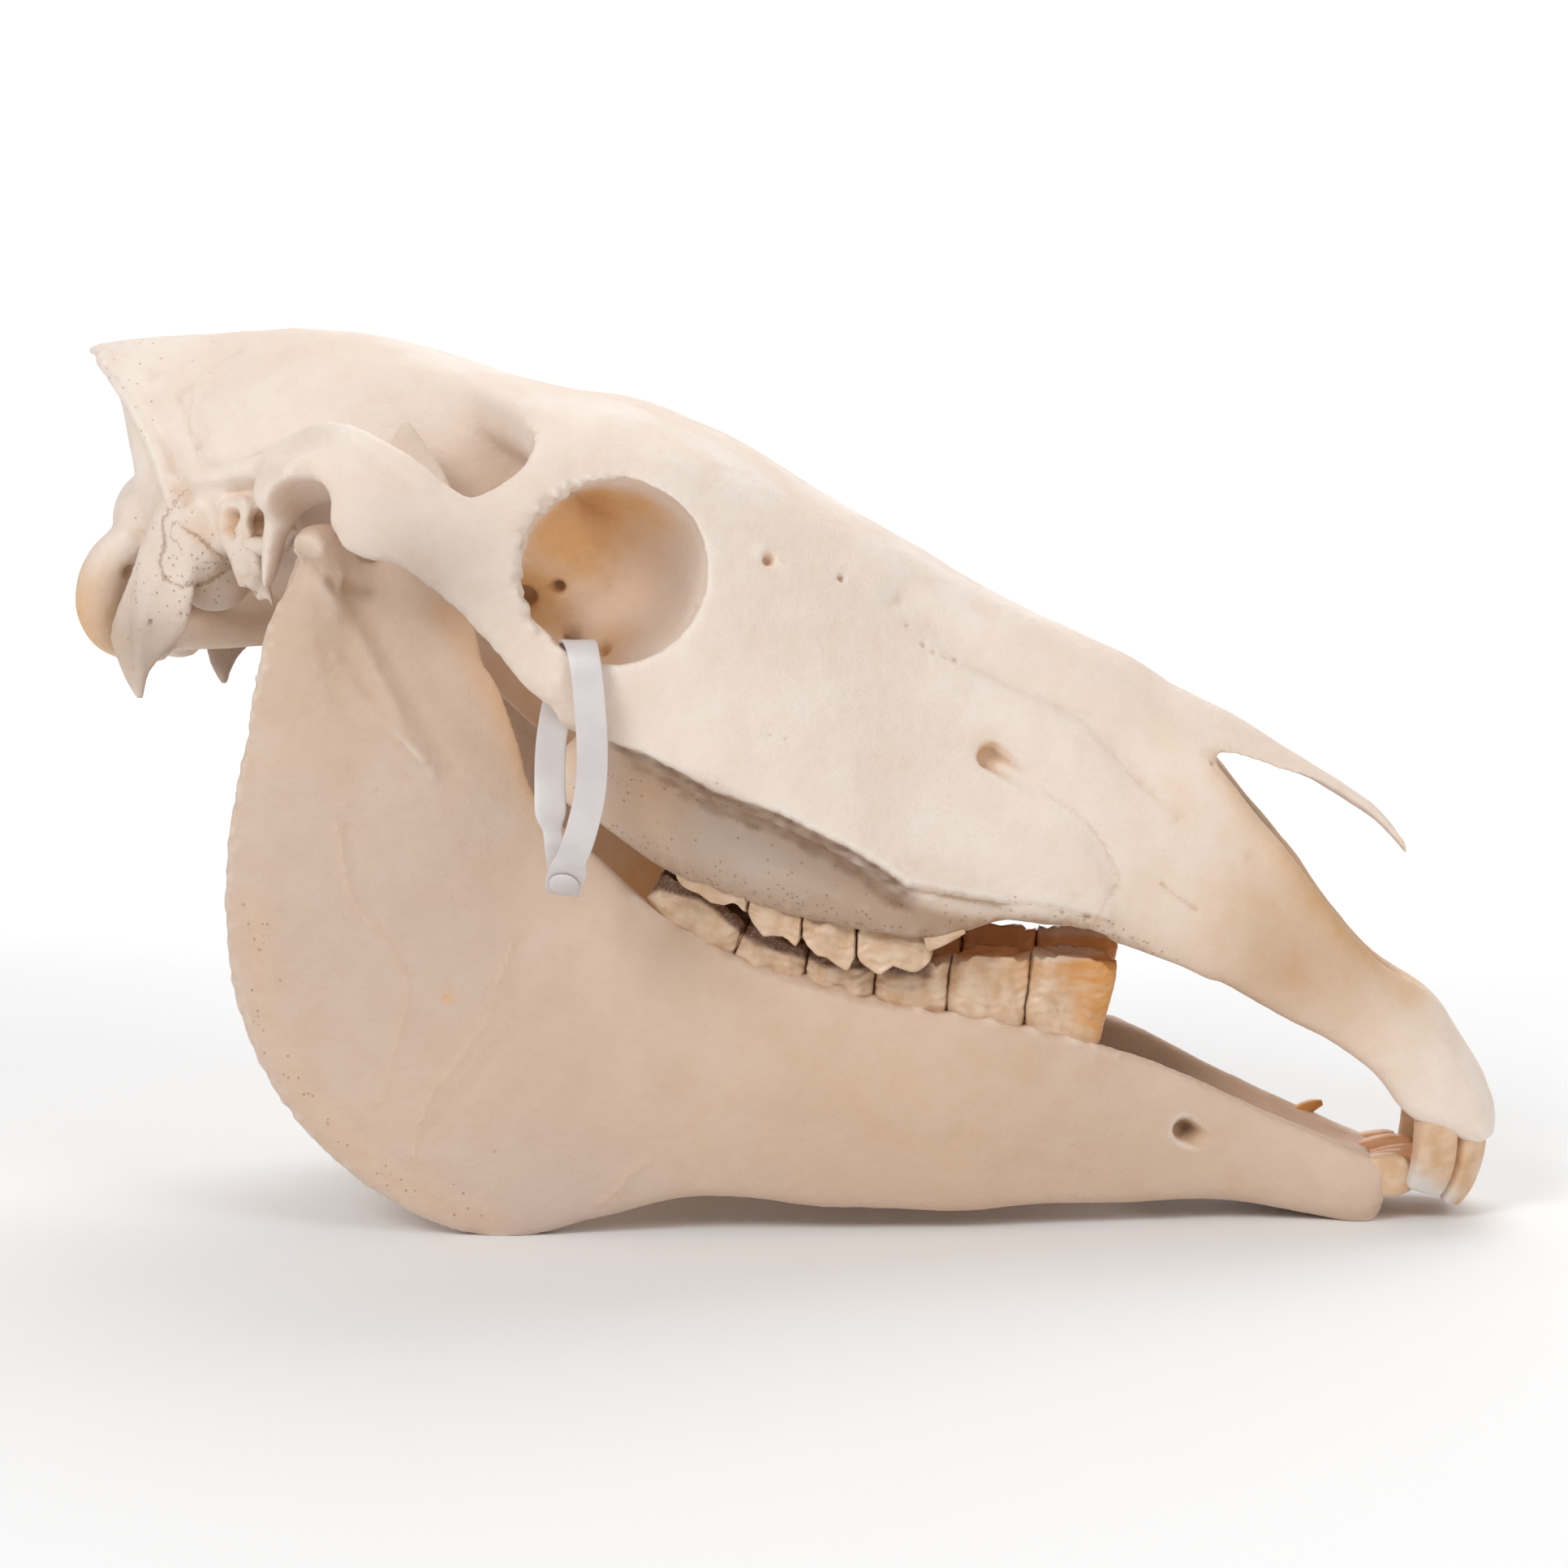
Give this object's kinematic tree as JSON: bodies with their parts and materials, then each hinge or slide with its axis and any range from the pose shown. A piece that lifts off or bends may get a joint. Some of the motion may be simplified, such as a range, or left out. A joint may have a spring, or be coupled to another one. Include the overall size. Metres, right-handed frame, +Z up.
{
  "type": "horse skull",
  "caption": "Life-size horse skull with closed jaws, resting on its mandible, with a plain plastic strap looped round the right zygomatic arch.",
  "frame": {"origin": "middle of the skull's box, on the floor it stands on", "axes": "+X towards the nose, +Y the animal's left side, +Z up"},
  "size_m": [0.4843, 0.2096, 0.3084],
  "materials": {
    "bone": "dry cleaned bone, satin",
    "mandible_bone": "dry cleaned bone, satin, a little darker",
    "teeth": "stained tooth enamel and cement",
    "strap_plastic": "smooth white plastic"
  },
  "bodies": {
    "root": {"cranium": "bone", "mandible": "mandible_bone", "tag_strap": "strap_plastic", "tag_stud": "strap_plastic"}
  },
  "joints": []
}
